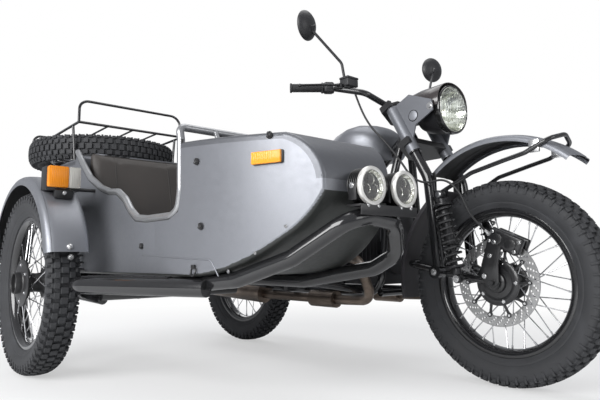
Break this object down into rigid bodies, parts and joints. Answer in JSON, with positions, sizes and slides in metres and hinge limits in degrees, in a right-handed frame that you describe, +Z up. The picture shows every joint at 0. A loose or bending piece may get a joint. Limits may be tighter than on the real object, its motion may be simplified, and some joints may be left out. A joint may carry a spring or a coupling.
{
  "type": "sidecar motorcycle",
  "caption": "Three-wheeled motorcycle with a boat-shaped sidecar, spoked wheels, leading-link fork, trunk lid carrying a spare wheel, and a rack.",
  "frame": {"origin": "on the ground, under the middle of the whole outline", "axes": "+X forwards, +Y to the rider's left, +Z up"},
  "size_m": [2.508, 1.6971, 1.4023],
  "materials": {
    "rubber_tyre": "matt moulded rubber",
    "black_rim": "gloss black",
    "hub_and_spokes": "satin steel spokes, black hub",
    "brake_steel": "ground steel",
    "grey_paint": "satin metallic grey",
    "black_gloss_tube": "gloss black",
    "black_satin": "satin black",
    "clear_lens": "clear",
    "amber_lens": "amber lens",
    "engine_black": "satin black casting",
    "heated_steel": "heat-tinted steel",
    "seat_cover": "dark brown-grey cover",
    "hose_rubber": "black hose"
  },
  "bodies": {
    "chassis": {"air_intake": "black_satin", "body_bulkhead": "grey_paint", "body_inner_wall": "grey_paint", "body_outer_wall": "grey_paint", "body_pan": "grey_paint", "body_top": "grey_paint", "cockpit_rails": "grey_paint", "cylinders": "engine_black", "engine_case": "engine_black", "exhausts": "heated_steel", "footrests": "black_gloss_tube", "fuel_tank": "grey_paint", "main_frame": "black_gloss_tube", "rear_arm": "black_gloss_tube", "rear_fender": "grey_paint", "rear_lamp": "amber_lens", "rear_shocks": "black_satin", "rider_saddle": "seat_cover", "seat_back": "seat_cover", "seat_base": "black_satin", "seat_cushion": "seat_cover", "sidecar_arm": "black_gloss_tube", "sidecar_fender": "grey_paint", "sidecar_frame": "black_gloss_tube", "sidecar_hoop": "black_gloss_tube", "sidecar_lamps": "amber_lens", "sidecar_shock": "black_satin", "sidecar_struts": "black_gloss_tube", "step_bar": "black_gloss_tube"},
    "front_wheel": {"front_tyre": "rubber_tyre", "front_rim": "black_rim", "front_hub": "hub_and_spokes", "front_brake_disc": "brake_steel"},
    "rear_wheel": {"rear_tyre": "rubber_tyre", "rear_rim": "black_rim", "rear_hub": "hub_and_spokes"},
    "sidecar_wheel": {"sidecar_tyre": "rubber_tyre", "sidecar_rim": "black_rim", "sidecar_hub": "hub_and_spokes"},
    "trunk_lid": {"trunk_lid": "grey_paint", "rack_deck": "black_gloss_tube", "rack_hoops": "black_gloss_tube", "spare_tyre": "rubber_tyre", "spare_rim": "black_rim", "spare_hub": "hub_and_spokes"},
    "centre_stand": {"centre_stand": "black_gloss_tube"},
    "steering": {"fork_yokes": "black_satin", "fork_tubes": "grey_paint", "fork_link": "black_gloss_tube", "fork_shocks": "black_satin", "front_fender": "grey_paint", "front_calliper": "black_satin", "fender_guard": "black_gloss_tube", "headlight": "black_satin", "headlight_glass": "clear_lens", "handlebar": "black_satin", "mirrors": "black_satin", "brake_hose": "hose_rubber"}
  },
  "joints": [
    {"name": "steering", "type": "hinge", "parent": "chassis", "child": "steering", "pos_m": [0.475, 0.38141, 0.982], "axis": [-0.4848, 0, 0.8746], "range_deg": [-30, 30]},
    {"name": "front_wheel_spin", "type": "hinge", "parent": "steering", "child": "front_wheel", "pos_m": [0.904, 0.38141, 0.35], "axis": [0, 1, 0], "continuous": true},
    {"name": "rear_wheel_spin", "type": "hinge", "parent": "chassis", "child": "rear_wheel", "pos_m": [-0.636, 0.38141, 0.35], "axis": [0, 1, 0], "continuous": true},
    {"name": "sidecar_wheel_spin", "type": "hinge", "parent": "chassis", "child": "sidecar_wheel", "pos_m": [-0.436, -0.76959, 0.35], "axis": [0, 1, 0], "continuous": true},
    {"name": "trunk_lid_hinge", "type": "hinge", "parent": "chassis", "child": "trunk_lid", "pos_m": [-0.544, -0.33359, 0.9], "axis": [0, 1, 0], "range_deg": [0, 50]},
    {"name": "centre_stand_hinge", "type": "hinge", "parent": "chassis", "child": "centre_stand", "pos_m": [-0.156, 0.38141, 0.283], "axis": [0, -1, 0], "range_deg": [0, 95]}
  ]
}
